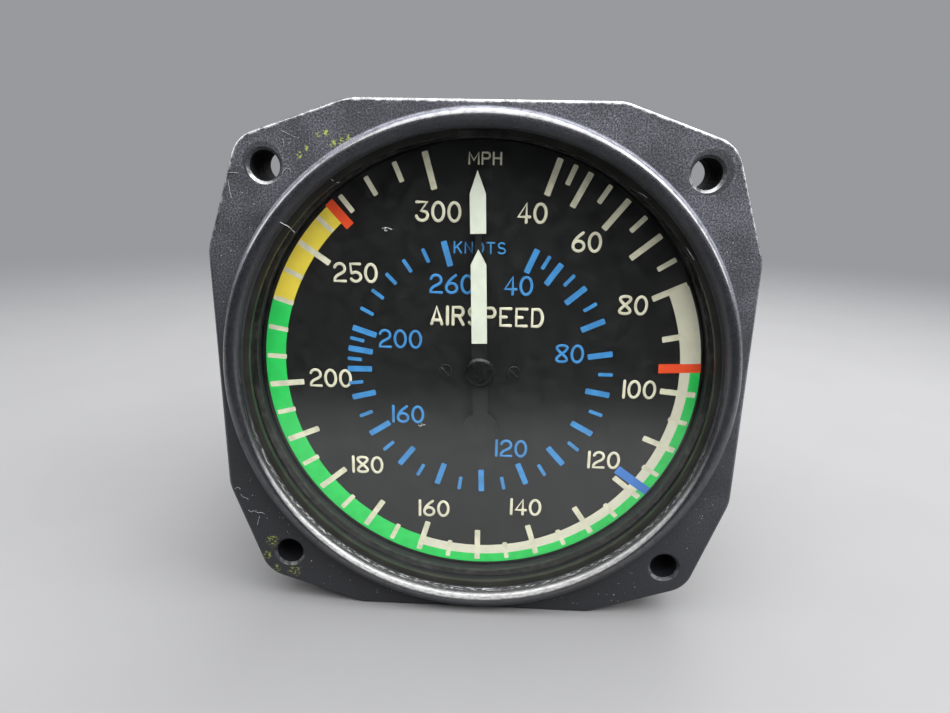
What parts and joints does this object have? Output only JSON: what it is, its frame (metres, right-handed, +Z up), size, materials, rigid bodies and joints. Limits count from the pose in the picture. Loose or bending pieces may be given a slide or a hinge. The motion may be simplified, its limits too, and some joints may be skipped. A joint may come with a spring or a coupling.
{
  "type": "airspeed indicator",
  "caption": "Round aircraft airspeed indicator on a square screw-mount flange, with coloured speed arcs on a black dial and a pointer that a pressure capsule turns through gears.",
  "frame": {"origin": "centre of the panel screw pattern, on the front face of the flange", "axes": "+X to the right as the dial is read, +Y from the dial into the case, +Z up"},
  "size_m": [0.0816, 0.078, 0.0816],
  "materials": {
    "case_paint": "satin",
    "ring_steel": "satin",
    "clear_glass": "polished",
    "seal_rubber": "matte",
    "dial_black": "matte",
    "cream_print": "matte",
    "knots_print": "matte",
    "white_print": "satin",
    "green_print": "satin",
    "yellow_print": "satin",
    "red_print": "satin",
    "blue_print": "satin",
    "pointer_black": "matte",
    "pointer_white": "matte",
    "black_steel": "satin",
    "bright_steel": "satin",
    "plate_metal": "satin",
    "brass": "satin",
    "bronze": "satin"
  },
  "bodies": {
    "housing": {"case": "case_paint", "retaining_ring": "ring_steel", "cover_glass": "clear_glass", "glass_gasket": "seal_rubber", "dial": "dial_black", "mph_scale": "cream_print", "knots_scale": "knots_print", "white_arc": "white_print", "green_arc": "green_print", "yellow_arc": "yellow_print", "red_lines": "red_print", "blue_line": "blue_print", "dial_screws": "black_steel", "front_plate": "plate_metal", "rear_plate": "plate_metal", "pillars": "brass", "pillar_screws": "bright_steel", "hairspring": "bronze", "hairspring_stud": "brass", "staff_bushes": "bronze", "sector_bushes": "bronze", "rocking_pivots": "bronze", "front_diaphragm": "bronze", "rear_diaphragm": "bronze", "capsule_stud": "brass", "capsule_nut": "brass", "capsule_bridge": "plate_metal", "rear_posts": "brass", "post_screws": "bright_steel", "pitot_pipe": "bronze", "mounting_screws": "bright_steel", "sealing_washers": "seal_rubber"},
    "hand": {"pointer": "pointer_black", "pointer_paint": "pointer_white", "pointer_hub": "black_steel", "hand_staff": "bright_steel", "pinion": "brass", "hairspring_collet": "brass"},
    "sector": {"sector_gear": "brass", "sector_arbor": "bright_steel", "sector_collet": "brass"},
    "rocker": {"rocking_shaft": "bright_steel", "input_arm": "brass", "output_finger": "brass"},
    "post": {"capsule_post": "bright_steel"}
  },
  "joints": [
    {"name": "capsule_stroke", "type": "slide", "parent": "housing", "child": "post", "axis": [0, -1, 0], "range_m": [0, 0.00166], "deforming": ["front_diaphragm"]},
    {"name": "rocker_turn", "type": "hinge", "parent": "housing", "child": "rocker", "pos_m": [0, 0.0326, -0.0082], "axis": [1, 0, 0], "range_deg": [0, 11.54]},
    {"name": "sector_turn", "type": "hinge", "parent": "housing", "child": "sector", "pos_m": [-0.01998, 0.01475, -0.0082], "axis": [0, 1, 0], "range_deg": [-43.5, 0]},
    {"name": "pointer_turn", "type": "hinge", "parent": "housing", "child": "hand", "pos_m": [0, 0.0145, 0], "axis": [0, 1, 0], "range_deg": [0, 348], "stiffness_Nm_per_rad": 0.000005, "springref_deg": -28.65, "deforming": ["hairspring"]}
  ],
  "couplings": [
    {"joint": "rocker_turn", "follows": "capsule_stroke", "rad_per_m": 121.53},
    {"joint": "sector_turn", "follows": "capsule_stroke", "rad_per_m": -457.91},
    {"joint": "pointer_turn", "follows": "capsule_stroke", "rad_per_m": 3663.3}
  ]
}
